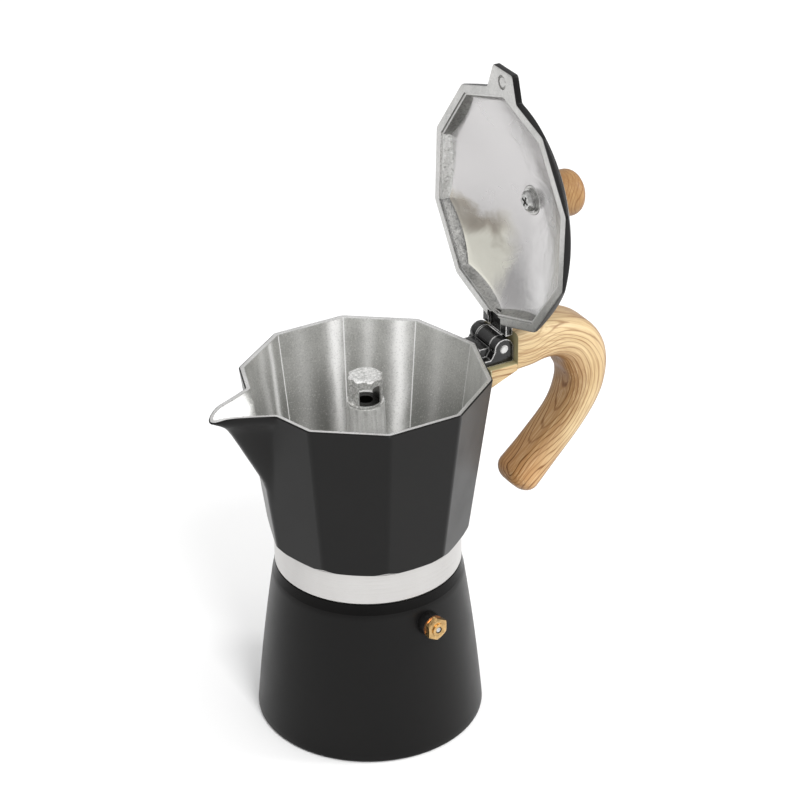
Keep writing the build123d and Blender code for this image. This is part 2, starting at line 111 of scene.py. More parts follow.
class Finish:
    """A material with one Principled shader, and short ways to add nodes to it."""

    def __init__(self, name, **settings):
        self.material = bpy.data.materials.new(name)
        self.material.use_nodes = True
        self.tree = self.material.node_tree
        self.shader = self.tree.nodes["Principled BSDF"]
        self.object = self.node("TexCoord").outputs["Object"]
        for key, value in settings.items():
            self.put(key.replace("_", " ").title().replace("Ior", "IOR"), value)

    def put(self, socket, value):
        self.feed(self.shader.inputs[socket], value)

    def feed(self, socket, value):
        if isinstance(value, bpy.types.NodeSocket):
            self.tree.links.new(value, socket)
        elif isinstance(value, tuple) and socket.type == "RGBA":
            socket.default_value = (*value, 1)
        else:
            socket.default_value = value

    def node(self, kind, **settings):
        node = self.tree.nodes.new("ShaderNode" + kind)
        for key, value in settings.items():
            setattr(node, key, value)
        return node

    def maths(self, operation, *values):
        node = self.node("Math", operation=operation)
        for socket, value in zip(node.inputs, values):
            self.feed(socket, value)
        return node.outputs[0]

    def axes(self, vector):
        """The vector's x, y and z."""
        node = self.node("SeparateXYZ")
        self.feed(node.inputs[0], vector)
        return node.outputs

    def offset(self, value, place, reach):
        """The square of the distance from place, in reaches."""
        return self.maths("POWER", self.maths("MULTIPLY_ADD", value, 1 / reach, -place / reach), 2.0)

    def fall(self, offset):
        """1 at a place, falling off smoothly with the squared distance from it."""
        return self.maths("EXPONENT", self.maths("MULTIPLY", offset, -1.0))

    def noise(self, scale, detail=2.0, roughness=0.5, distortion=0.0, vector=None):
        """Noise over the object, or over another vector, with one scale or one for each axis."""
        vector = vector or self.object
        if isinstance(scale, tuple):
            stretch = self.node("VectorMath", operation="MULTIPLY")
            self.feed(stretch.inputs[0], vector)
            self.feed(stretch.inputs[1], scale)
            vector, scale = stretch.outputs[0], 1
        node = self.node("TexNoise")
        self.feed(node.inputs["Vector"], vector)
        for key, value in (("Scale", scale), ("Detail", detail), ("Roughness", roughness),
                           ("Distortion", distortion)):
            node.inputs[key].default_value = value
        return node.outputs[0]

    def span(self, value, start, end):
        """0 to 1 as the value goes from start to end."""
        node = self.node("MapRange", interpolation_type="SMOOTHSTEP")
        node.inputs["From Min"].default_value = start
        node.inputs["From Max"].default_value = end
        self.feed(node.inputs["Value"], value)
        return node.outputs[0]

    def ramp(self, factor, *stops):
        """Grey levels or colours, at positions along the factor."""
        node = self.node("ValToRGB")
        self.feed(node.inputs[0], factor)
        band = node.color_ramp.elements
        while len(band) < len(stops):
            band.new(0.5)
        for element, (position, colour) in zip(band, stops):
            element.position = position
            element.color = (*(colour if isinstance(colour, tuple) else (colour,) * 3), 1)
        return node.outputs[0]

    def mix(self, factor, first, second, blend="MIX"):
        node = self.node("Mix", data_type="RGBA", blend_type=blend)
        self.feed(node.inputs[0], factor)
        self.feed(node.inputs[6], first)
        self.feed(node.inputs[7], second)
        return node.outputs[2]

    def bump(self, height, strength, distance):
        node = self.node("Bump")
        node.inputs["Strength"].default_value = strength
        node.inputs["Distance"].default_value = distance
        self.feed(node.inputs["Height"], height)
        if self.shader.inputs["Normal"].is_linked:
            self.feed(node.inputs["Normal"], self.shader.inputs["Normal"].links[0].from_socket)
        self.put("Normal", node.outputs[0])


# ---- materials

def shade(colour, factor, most=1.0):
    return tuple(min(most, part * factor) for part in colour)


def black_coating(name, gloss, ior=1.27):
    """Baked-on matt black paint with a fine grain."""
    finish = Finish(name, ior=ior)
    broad = finish.noise(45, 3)
    grain = finish.noise(2400, 3, 0.6)
    finish.put("Base Color", finish.mix(broad, (0.0030, 0.0029, 0.0029), (0.0052, 0.0048, 0.0046)))
    finish.put("Roughness", finish.ramp(broad, (0.3, gloss), (0.7, gloss + 0.08)))
    finish.bump(grain, 0.22, 0.00012)
    return finish.material


def worn_black():
    """Glossy black paint worn through to bright metal along the edges of the hinge."""
    finish = Finish("hinge_black_coating", ior=1.45)
    grains = finish.noise(1300, 3, 0.7)
    rounded = finish.node("Bevel", samples=6)
    rounded.inputs["Radius"].default_value = 0.0009
    turn = finish.node("VectorMath", operation="DOT_PRODUCT")
    finish.feed(turn.inputs[0], rounded.outputs[0])
    finish.feed(turn.inputs[1], finish.node("NewGeometry").outputs["Normal"])
    bend = finish.maths("SUBTRACT", 1.0, turn.outputs["Value"])
    worn = finish.span(finish.maths("MULTIPLY_ADD", grains, 0.12, bend), 0.075, 0.13)
    finish.put("Base Color", finish.mix(worn, (0.006, 0.006, 0.006), (0.80, 0.79, 0.78)))
    finish.put("Metallic", worn)
    finish.put("Roughness", finish.maths("MULTIPLY_ADD", worn, 0.14, 0.20))
    finish.bump(grains, 0.3, 0.00012)
    return finish.material


def turned_aluminium():
    """Bright lathe-turned metal with lines running round it."""
    finish = Finish("turned_aluminium", metallic=1.0, anisotropic=0.45)
    lines = finish.noise((30, 30, 5200), 4, 0.65)
    patches = finish.noise((60, 60, 16), 3, 0.6)
    tone = finish.mix(patches, (0.45, 0.44, 0.43), (0.54, 0.53, 0.52))
    bright = finish.ramp(lines, (0.35, 0.0), (0.8, 0.6))
    finish.put("Base Color", finish.mix(bright, tone, (0.60, 0.59, 0.58)))
    finish.put("Roughness", finish.ramp(lines, (0.3, 0.26), (0.7, 0.38)))
    tangent = finish.node("Tangent", direction_type="RADIAL", axis="Z")
    finish.put("Tangent", tangent.outputs[0])
    finish.bump(lines, 0.25, 0.00004)
    return finish.material


def painted_highlight_bands(finish, bands):
    """Painted highlights: soft upright bands round the axis, each given as (degrees, half width in degrees,
    strength).
    """
    x, y, _ = finish.axes(finish.object)
    around = finish.maths("MULTIPLY", finish.maths("ARCTAN2", y, x), 180 / pi)
    wander = 5.0
    uneven = finish.noise((140, 140, 40), 3, 0.6)
    around = finish.maths("MULTIPLY_ADD", uneven, wander, around)
    total = 0.0
    for place, reach, strength in bands:
        near = finish.fall(finish.offset(around, place + wander / 2, reach))
        total = finish.maths("MULTIPLY_ADD", near, strength, total)
    return total


def cast_aluminium(name, dark, light, rough, grain_size, relief, metallic=1.0, bands=()):
    """Bare cast metal with granular sparkle and faint upright drag marks.

    With bands it is the chamber's inside: painted shade makes it darker lower down, and painted highlights
    make it bright in the bands and in the spout.
    """
    finish = Finish(name, metallic=metallic)
    streaks = finish.noise((420, 420, 20), 4, 0.62, 0.3)
    grains = finish.noise(grain_size, 3, 0.7)
    cloud = finish.noise(60, 3)
    tone = finish.mix(finish.ramp(cloud, (0.3, 0.0), (0.7, 1.0)), dark, light)
    tone = finish.mix(finish.ramp(streaks, (0.4, 0.0), (0.72, 0.4)), tone, light)
    if bands:
        x, _, z = finish.axes(finish.object)
        # Painted shade: the inside gets darker lower down.
        tone = finish.mix(finish.span(z, 0.162, 0.120), tone, shade(dark, 0.72))
        # Painted highlights: near white and less metallic in the bands and in the spout.
        spout = finish.span(x, -0.0485, -0.053)
        painted_highlights = finish.maths("MAXIMUM", painted_highlight_bands(finish, bands), spout)
        tone = finish.mix(painted_highlights, tone, (0.98, 0.975, 0.965))
        finish.put("Metallic", finish.maths("MULTIPLY_ADD", painted_highlights, -0.65, metallic))
    specks = finish.maths("MULTIPLY", finish.ramp(grains, (0.56, 0.0), (0.66, 1.0)), 0.5)
    tone = finish.mix(specks, tone, shade(light, 1.3, 0.95))
    pits = finish.maths("MULTIPLY", finish.ramp(grains, (0.36, 1.0), (0.46, 0.0)), 0.2 + 0.25 * relief)
    finish.put("Base Color", finish.mix(pits, tone, shade(dark, 0.5)))
    finish.put("Roughness", finish.ramp(streaks, (0.3, rough + 0.06), (0.75, rough - 0.06)))
    finish.bump(grains, relief, 0.00022)
    finish.bump(streaks, relief * 0.3, 0.0002)
    return finish.material


def polished_aluminium():
    """The lid's polished dome, with faint lines, and painted reflections: a pale, less metallic patch, a dark
    patch and one side lighter.
    """
    finish = Finish("polished_aluminium", metallic=1.0)
    wobble = finish.noise((40, 55, 60), 3, 0.55, 0.4)
    lines = finish.noise((60, 2400, 200), 3, 0.6)
    _, y, z = finish.axes(finish.object)
    shift = finish.maths("MULTIPLY_ADD", wobble, 0.026, -0.013)
    across = finish.maths("ADD", y, shift)
    upward = finish.maths("ADD", z, shift)
    # Masks for painted reflections: a pale, less metallic patch and a dark patch.
    painted_pale_reflection = finish.maths("MULTIPLY", finish.span(across, 0.004, 0.015), finish.span(upward, 0.215, 0.203))
    off = finish.maths("ADD", finish.offset(across, 0.029, 0.024), finish.offset(upward, 0.2060, 0.008))
    painted_dark_reflection = finish.span(finish.maths("SQRT", off), 1.15, 0.2)
    tone = finish.mix(wobble, (0.53, 0.515, 0.515), (0.60, 0.59, 0.59))
    # Painted reflections: lighter towards one side, then the pale patch and the dark patch.
    tone = finish.mix(finish.span(across, 0.004, -0.03), tone, (0.74, 0.73, 0.73))
    tone = finish.mix(finish.maths("MULTIPLY", painted_pale_reflection, 0.85), tone, (0.80, 0.785, 0.69))
    tone = finish.mix(finish.maths("MULTIPLY", painted_dark_reflection, 0.75), tone, (0.20, 0.165, 0.13))
    finish.put("Base Color", tone)
    finish.put("Metallic", finish.maths("MULTIPLY_ADD", painted_pale_reflection, -0.45, 1.0))
    finish.put("Roughness", finish.ramp(wobble, (0.35, 0.20), (0.65, 0.28)))
    finish.bump(lines, 0.10, 0.00005)
    finish.bump(wobble, 0.3, 0.0012)
    return finish.material


def plain_metal(name, colour, rough):
    """Machined small parts: fine scratches and uneven tarnish."""
    finish = Finish(name, metallic=1.0)
    tarnish = finish.noise(420, 4, 0.6)
    scratch = finish.noise((900, 900, 5000), 3)
    clean = finish.ramp(tarnish, (0.35, 0.0), (0.62, 1.0))
    finish.put("Base Color", finish.mix(clean, shade(colour, 0.62), colour))
    finish.put("Roughness", finish.ramp(tarnish, (0.3, rough + 0.12), (0.7, rough)))
    finish.bump(scratch, 0.2, 0.00006)
    return finish.material


def silicone():
    finish = Finish("silicone_white", roughness=0.55, subsurface_weight=0.15)
    dust = finish.noise(300, 4)
    finish.put("Base Color", finish.mix(dust, (0.66, 0.65, 0.62), (0.76, 0.75, 0.72)))
    finish.bump(finish.noise(1500, 2), 0.15, 0.0001)
    return finish.material


def wood_look(name, knots, dark_end, pale, deep):
    """Printed wood grain that follows the part's own length. Painted shade, as strong as dark_end, darkens the
    inner side, the lower end and the edges seen edge-on.

    The attribute 'grain' is (along, outwards, across) in mm. Each knot is (along, reach along, outwards,
    reach outwards, strength).
    """
    finish = Finish(name, roughness=0.40, ior=1.26)
    grain = finish.node("Attribute", attribute_name="grain").outputs["Vector"]
    along, outwards, across = finish.axes(grain)
    flow = finish.noise((0.011, 0.05, 0.05), 3, 0.5, 0.25, vector=grain)
    from_heart = finish.maths("ADD", finish.maths("POWER", finish.maths("ADD", outwards, 13.0), 2.0),
                              finish.maths("POWER", finish.maths("ADD", across, 2.5), 2.0))
    rings_per_mm, waviness, one_turn = 0.60, 6.5, 6.2832
    rings = finish.maths("MULTIPLY", flow, waviness)
    rings = finish.maths("MULTIPLY_ADD", finish.maths("SQRT", from_heart), rings_per_mm, rings)
    for place, reach, height, spread, strength in knots:
        off = finish.maths("ADD", finish.offset(along, place, reach), finish.offset(outwards, height, spread))
        rings = finish.maths("MULTIPLY_ADD", finish.fall(off), strength, rings)
    wave = finish.maths("SINE", finish.maths("MULTIPLY", rings, one_turn))
    wave = finish.maths("MULTIPLY_ADD", wave, 0.5, 0.5)
    lines = finish.ramp(wave, (0.0, 0.0), (0.80, 0.08), (0.98, 0.9), (1.0, 1.0))
    fading = finish.noise((0.03, 0.22, 0.22), 2, 0.5, vector=grain)
    lines = finish.maths("MULTIPLY", lines, finish.ramp(fading, (0.36, 0.45), (0.6, 1.0)))
    fibres = finish.noise((0.035, 1.3, 1.3), 3, 0.7, vector=grain)
    patch = finish.noise((0.02, 0.09, 0.09), 2, 0.5, vector=grain)
    base = finish.mix(finish.ramp(patch, (0.3, 0.0), (0.7, 1.0)), deep, pale)
    # Painted shade: the grain's strokes get stronger on the inner side and towards the lower end.
    darker = finish.maths("ADD", finish.span(outwards, 0.5, -8.5), finish.span(along, 84.0, 118.0))
    darker = finish.maths("MULTIPLY", darker, dark_end)
    # Painted shade: browner on the inner side of the bend.
    inner = finish.maths("MULTIPLY", finish.span(outwards, 0.0, -9.0), finish.span(along, 20.0, 42.0))
    inner = finish.maths("MULTIPLY", inner, 0.8 * dark_end)
    base = finish.mix(inner, base, (0.33, 0.165, 0.06))
    # Painted shade: darker towards the lower end.
    lower = finish.maths("MULTIPLY", finish.span(along, 92.0, 132.0), 0.8 * dark_end)
    base = finish.mix(lower, base, (0.43, 0.215, 0.08))
    strands = finish.maths("MULTIPLY", finish.ramp(fibres, (0.50, 0.0), (0.62, 1.0)), 0.45)
    base = finish.mix(strands, base, (0.26, 0.125, 0.045))
    base = finish.mix(finish.ramp(fibres, (0.36, 0.35), (0.46, 0.0)), base, shade(pale, 1.2))
    strokes = finish.maths("MULTIPLY", lines, finish.maths("MULTIPLY_ADD", darker, 0.24, 0.66))
    base = finish.mix(strokes, base, (0.16, 0.065, 0.02))
    # Painted shade: darker where the surface is seen edge-on.
    grazing = finish.node("LayerWeight")
    grazing.inputs["Blend"].default_value = 0.5
    edge = finish.maths("MULTIPLY", finish.span(grazing.outputs["Facing"], 0.45, 0.95), 0.7)
    base = finish.mix(edge, base, (0.20, 0.095, 0.04))
    finish.put("Base Color", base)
    finish.bump(fibres, 0.12, 0.0001)
    return finish.material


def cap_cast_with_painted_shade():
    """The column's cap: rough bright casting, with painted shade inside its outlets, darkest deepest down."""
    finish = Finish("cast_cap", metallic=0.8, roughness=0.38)
    x, y, z = finish.axes(finish.object)
    reach = finish.maths("SQRT", finish.maths("ADD", *(finish.maths("POWER", part, 2.0) for part in (x, y))))
    inside = finish.maths("MULTIPLY", finish.span(reach, 0.0066, 0.0062), finish.span(z, 0.1609, 0.1605))
    grains = finish.noise(1100, 3, 0.7)
    tone = finish.mix(finish.ramp(grains, (0.38, 0.0), (0.62, 1.0)), (0.50, 0.50, 0.485), (0.92, 0.915, 0.90))
    # Painted shade: near black deep in the outlets, lighter towards their mouths.
    depths = finish.mix(finish.span(z, 0.154, 0.159), (0.010, 0.009, 0.008), (0.16, 0.155, 0.145))
    finish.put("Base Color", finish.mix(inside, tone, depths))
    finish.bump(grains, 0.9, 0.0003)
    return finish.material


def core_plastic():
    """The glossy khaki of the handle's unprinted cut faces."""
    finish = Finish("core_plastic", roughness=0.22)
    mottle = finish.noise(160, 3)
    finish.put("Base Color", finish.mix(mottle, (0.25, 0.215, 0.11), (0.40, 0.35, 0.20)))
    finish.bump(finish.noise(700, 2), 0.12, 0.00015)
    return finish.material


# Painted highlights on the chamber's inside walls: (degrees, half width in degrees, strength).
CHAMBER_HIGHLIGHT_BANDS = ((117, 2.5, 0.8), (127, 4, 0.35), (97, 5, 0.25), (77, 4.5, 1.0), (60, 3.5, 0.45), (43, 5, 1.0),
                 (20, 5, 0.25), (-60, 6, 0.6), (-110, 5, 0.5), (-150, 6, 0.5))
HANDLE_KNOTS = ((20.0, 12.0, 0.0, 8.0, 2.6), (122.0, 20.0, -4.0, 7.0, 3.0))
KNOB_KNOTS = ((44.0, 9.0, 6.0, 12.0, 2.5),)

BLACK = black_coating("black_coating", 0.28)
BOILER_BLACK = black_coating("boiler_black_coating", 0.33, 1.25)
NECK_BLACK = black_coating("neck_black_coating", 0.20, 1.18)
HINGE_BLACK = worn_black()
TURNED = turned_aluminium()
CAST = cast_aluminium("cast_inside", (0.52, 0.52, 0.50), (0.72, 0.72, 0.695), 0.38, 1500, 0.4, 0.75,
                      CHAMBER_HIGHLIGHT_BANDS)
# Painted highlight: the near-white, barely metallic lines down the chamber's inside corners.
CORNER_HIGHLIGHT_CAST = cast_aluminium("cast_corner_painted_highlight", (0.84, 0.84, 0.83), (0.94, 0.94, 0.93), 0.45, 1500, 0.2, 0.2)
COLUMN_CAST = cast_aluminium("cast_column", (0.66, 0.66, 0.64), (0.94, 0.935, 0.92), 0.34, 1500, 0.35, 0.6)
LID_CAST = cast_aluminium("cast_lid_wall", (0.22, 0.22, 0.215), (0.46, 0.455, 0.44), 0.46, 1000, 1.3)
# Lighter and darker copies of the lid's wall material, for painted light and painted shade on two sides of the
# cavity.
PAINTED_LIGHT_LID_CAST = cast_aluminium("cast_lid_wall_painted_light", (0.42, 0.42, 0.405), (0.86, 0.855, 0.84), 0.46, 900, 1.5)
PAINTED_SHADE_LID_CAST = cast_aluminium("cast_lid_wall_painted_shade", (0.10, 0.10, 0.098), (0.22, 0.218, 0.21), 0.44, 900, 1.3)
LID_RIM = cast_aluminium("bare_lid_rim", (0.44, 0.44, 0.43), (0.60, 0.595, 0.58), 0.32, 1500, 0.3)
RIM = cast_aluminium("bare_rim", (0.58, 0.575, 0.565), (0.78, 0.775, 0.765), 0.30, 1700, 0.25)
WORN_EDGE = cast_aluminium("worn_edge", (0.40, 0.40, 0.39), (0.90, 0.895, 0.88), 0.30, 900, 0.3, 0.8)
POLISHED = polished_aluminium()
INSIDE = cast_aluminium("cast_boiler_inside", (0.45, 0.45, 0.44), (0.66, 0.66, 0.65), 0.46, 1200, 0.5)
CAP_CAST = cap_cast_with_painted_shade()
BRASS = plain_metal("brass_worn", (0.60, 0.39, 0.17), 0.24)
COPPER = plain_metal("copper_dull", (0.45, 0.22, 0.11), 0.34)
STEEL = plain_metal("steel_plain", (0.56, 0.56, 0.55), 0.24)
DARK_STEEL = plain_metal("steel_dark", (0.20, 0.20, 0.20), 0.34)
BARE = plain_metal("aluminium_pressed", (0.66, 0.66, 0.65), 0.34)
SILICONE = silicone()
WOOD = wood_look("wood_handle", HANDLE_KNOTS, 1.0, (0.60, 0.47, 0.28), (0.49, 0.35, 0.185))
KNOB_WOOD = wood_look("wood_knob", KNOB_KNOTS, 0.5, (0.38, 0.235, 0.105), (0.25, 0.13, 0.052))
CORE = core_plastic()


# ---- mesh helpers

MM = 0.001
CREASE = 34  # edges that turn more than this many degrees are sharp


def piece(name, points, faces, materials, picks, sharp=CREASE):
    """An object from points in millimetres and each face's material number."""
    mesh = bpy.data.meshes.new(name)
    mesh.from_pydata([[c * MM for c in point] for point in points], [], faces)
    for material in materials:
        mesh.materials.append(material)
    mesh.polygons.foreach_set("material_index", picks)
    obj = add_object(name, mesh)
    tidy(obj, sharp)
    return obj


def tidy(obj, sharp=CREASE):
    """Outward normals, smooth shading and sharp creases."""
    shape = bmesh.new()
    shape.from_mesh(obj.data)
    bmesh.ops.remove_doubles(shape, verts=shape.verts, dist=1e-6)
    bmesh.ops.dissolve_degenerate(shape, edges=shape.edges, dist=1e-6)
    bmesh.ops.recalc_face_normals(shape, faces=shape.faces)
    shape.to_mesh(obj.data)
    shape.free()
    obj.data.polygons.foreach_set("use_smooth", [True] * len(obj.data.polygons))
    obj.data.set_sharp_from_angle(angle=radians(sharp))


def skin(rings, wrap=False):
    """Quads between successive rings, closed by the first ring (wrap) or by an end face on each end."""
    count = len(rings[0])
    points = [point for ring in rings for point in ring]
    faces, bands = [], []
    for row in range(len(rings) if wrap else len(rings) - 1):
        a, b = row * count, (row + 1) % len(rings) * count
        for i in range(count):
            j = (i + 1) % count
            faces.append((a + i, a + j, b + j, b + i))
            bands.append(row)
    if not wrap:
        faces += [tuple(range(count)), tuple(range(len(points) - count, len(points)))]
        bands += [0, len(rings) - 2]
    return points, faces, bands


def polar(radius, turn, z):
    return radius * cos(turn), radius * sin(turn), z


def revolved(name, profile, materials, count, wrap, place=None):
    """Turns (radius, height, material number) corners about Z; a number is for the band after its corner."""
    turns = [2 * pi * i / count for i in range(count)]
    rings = [[Vector(polar(radius, turn, z)) for turn in turns] for radius, z, _ in profile]
    if place:
        rings = [[place @ point for point in ring] for ring in rings]
    points, faces, bands = skin(rings, wrap)
    return piece(name, points, faces, materials, [profile[band][2] for band in bands])


def applied(obj):
    """Makes the object's modifiers part of its mesh."""
    shape = bpy.data.meshes.new_from_object(obj.evaluated_get(bpy.context.evaluated_depsgraph_get()))
    obj.modifiers.clear()
    obj.data = shape
    return obj


def combine(target, other, operation):
    """Adds the other object to the target, or cuts it out, and removes the other."""
    modifier = target.modifiers.new("combine", "BOOLEAN")
    modifier.operation = operation
    modifier.solver = "EXACT"
    modifier.object = other
    applied(target)
    bpy.data.objects.remove(other)


def bevelled(obj, width, edge_material):
    """Rounds the edges by a width in millimetres, in their own material."""
    obj.data.materials.append(edge_material)
    modifier = obj.modifiers.new("bevel", "BEVEL")
    modifier.width = width * MM
    modifier.segments = 2
    modifier.material = len(obj.data.materials) - 1
    modifier.limit_method = "ANGLE"
    modifier.angle_limit = radians(30)
    applied(obj)


def box(x, y, z, material, place=None):
    """A block between pairs of x, y and z."""
    corners = [Vector((x[i], y[j], z[k])) for i in (0, 1) for j in (0, 1) for k in (0, 1)]
    if place:
        corners = [place @ corner for corner in corners]
    faces = [(0, 1, 3, 2), (4, 6, 7, 5), (0, 4, 5, 1), (2, 3, 7, 6), (0, 2, 6, 4), (1, 5, 7, 3)]
    return piece("box", corners, faces, [material], [0] * 6)


def plate(outline, low, high, material, place=None):
    """A plate across Y with (x, z) corners."""
    rings = [[Vector((x, y, z)) for x, z in outline] for y in (low, high)]
    if place:
        rings = [[place @ point for point in ring] for ring in rings]
    points, faces, bands = skin(rings)
    return piece("plate", points, faces, [material], [0] * len(faces))


def arc(x, z, radius, start, end, steps):
    """Points along an arc, from one angle in degrees to another."""
    turns = [radians(start + (end - start) * i / steps) for i in range(steps + 1)]
    return [(x + radius * cos(t), z + radius * sin(t)) for t in turns]


def rod_y(x, z, radius, low, high, material, place=None, steps=32):
    return plate(arc(x, z, radius, 0, 360, steps)[:-1], low, high, material, place)


def ride(obj, body, slot, *nodes):
    """Puts the object on a body, in place of any CAD nodes named, which it hides; the slot is not used."""
    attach(obj, body)
    if nodes:
        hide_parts(*nodes)


def along(table, x):
    """A smooth curve through a table's (x, y) points."""
    if x <= table[0][0] or x >= table[-1][0]:
        (x0, y0), (x1, y1) = table[:2] if x <= table[0][0] else table[-2:]
        return y0 + (y1 - y0) * (x - x0) / (x1 - x0)
    i = max(k for k in range(len(table) - 1) if table[k][0] <= x)
    (x0, y0), (x1, y1) = table[i], table[i + 1]
    step = x1 - x0

    def slope(k):
        if k == 0 or k == len(table) - 1:
            return (y1 - y0) / step
        return (table[k + 1][1] - table[k - 1][1]) / (table[k + 1][0] - table[k - 1][0])

    t = (x - x0) / step
    return ((2 * t ** 3 - 3 * t ** 2 + 1) * y0 + (t ** 3 - 2 * t ** 2 + t) * step * slope(i)
            + (3 * t ** 2 - 2 * t ** 3) * y1 + (t ** 3 - t ** 2) * step * slope(i + 1))


def halved(test, low, high):
    """The place between low and high where test turns from true to false."""
    for _ in range(30):
        middle = (low + high) / 2
        low, high = (middle, high) if test(middle) else (low, middle)
    return low


# ---- ten-sided shapes

HALF_SIDE = pi / 10
RIM_HEIGHT = 165.5
RING_RADIUS, RING_BOTTOM, RING_TOP = 40.7, 76.2, 90.6
WALL_LEAN = 0.136
SPOUT_TIP = 72.9
HINGE_X, HINGE_Z = 61.8, 165.0


def off_corner(angle):
    """Angle to the nearest of the ten corners."""
    return abs((angle + HALF_SIDE) % (2 * HALF_SIDE) - HALF_SIDE)


def ten_sided(corner, rounding, angle):
    """Distance from the axis to a ten-sided outline with rounded corners."""
    off = off_corner(angle)
    centre = corner - rounding / cos(HALF_SIDE)
    touch = atan2(rounding * sin(HALF_SIDE), centre + rounding * cos(HALF_SIDE))
    if off < touch:
        return centre * cos(off) + sqrt(rounding ** 2 - (centre * sin(off)) ** 2)
    return corner * cos(HALF_SIDE) / cos(HALF_SIDE - off)


def sample_angles(dense):
    """Angles that are close together at the corners and over the stretches named in dense."""
    near = [0, 0.3, 0.6, 0.95, 1.3, 1.7, 2.6, 4.5, 7, 10, 13, 15.5, 18]
    angles = {round(36 * k + side * off, 3) % 360 for k in range(10) for side in (-1, 1) for off in near}
    for middle, reach, step in dense:
        angles = {a for a in angles if abs(a - middle) > reach - 0.2}
        angles |= {round(middle - reach + step * i, 3) % 360 for i in range(int(2 * reach / step) + 1)}
    return [radians(a) for a in sorted(angles)]


def blend_max(first, second, radius):
    return max(first, second) + max(radius - abs(first - second), 0) ** 2 / (4 * radius)


# ---- upper chamber

# Tables of pairs: half width by distance, keel by height, rim's dip by distance, turned surfaces by radius.
SPOUT_OUTLINE = ((40.0, 17.6), (46.0, 15.2), (51.2, 13.0), (56.8, 10.4), (62.1, 8.1), (66.1, 6.4), (69.3, 4.6),
                 (71.6, 2.9), (72.6, 1.6), (72.9, 0.0))
SPOUT_KEEL = ((110.0, 41.5), (124.5, 48.2), (134.0, 52.8), (142.0, 57.0), (150.0, 61.1), (157.6, 65.6),
              (160.5, 69.2), (162.5, 72.6), (165.5, 73.0))
SPOUT_DIP = ((60.0, 0.0), (65.5, 0.0), (69.3, 0.9), (71.6, 2.3), (72.9, 3.0))
OUTER_TURN = ((40.7, 90.6), (42.6, 91.4), (44.4, 93.4), (46.0, 97.0), (62.0, 100.0))
INNER_TURN = ((38.0, 92.0), (41.0, 94.0), (43.0, 98.0), (60.0, 100.0))


def turn_reach(table, height):
    """Radius of a turned surface at a height."""
    for (r0, z0), (r1, z1) in zip(table, table[1:]):
        if height <= z1:
            return r0 + (r1 - r0) * (height - z0) / (z1 - z0)
    return table[-1][0]


def spout_reach(angle, height, inset, trim):
    """Distance from the axis to the side of the spout, or 0 where the spout isn't."""
    off = abs(angle - pi)
    shift = SPOUT_TIP - along(SPOUT_KEEL, height) + inset
    if off > 0.42 or height < 112:
        return 0
    slope = tan(off)

    def inside(distance):
        reach = distance + shift
        if reach >= SPOUT_TIP:
            return False
        return along(SPOUT_OUTLINE, reach) - trim > distance * slope

    return halved(inside, 20, 80) / cos(off)


def outer_sides(angle, height):
    return ten_sided(54.0 - WALL_LEAN * (RIM_HEIGHT - height), 4.0, angle)


def outer_reach(angle, height):
    sides = min(outer_sides(angle, height), turn_reach(OUTER_TURN, height))
    return blend_max(sides, spout_reach(angle, height, 0, 0), 1.0)


def inner_reach(angle, height):
    sides = ten_sided(51.6 - WALL_LEAN * (RIM_HEIGHT - height), 0.7, angle)
    sides = min(sides, turn_reach(INNER_TURN, height))
    lift = 3.0 * min(1, max(0, (RIM_HEIGHT - height) / 8))
    return blend_max(sides, spout_reach(angle, height - lift, 1.2, 1.6), 1.4)


def rim_height(angle, radius):
    """The rim is level, except that it dips towards the spout's tip."""
    if abs(angle - pi) > 0.3:
        return RIM_HEIGHT
    return RIM_HEIGHT - max(0, along(SPOUT_DIP, -radius * cos(angle)))


def rim_edge(reach, angle):
    """Height and radius where a wall meets the dipping rim."""
    height = halved(lambda z: z < rim_height(angle, reach(angle, z)), 158, RIM_HEIGHT)
    return height, reach(angle, height)


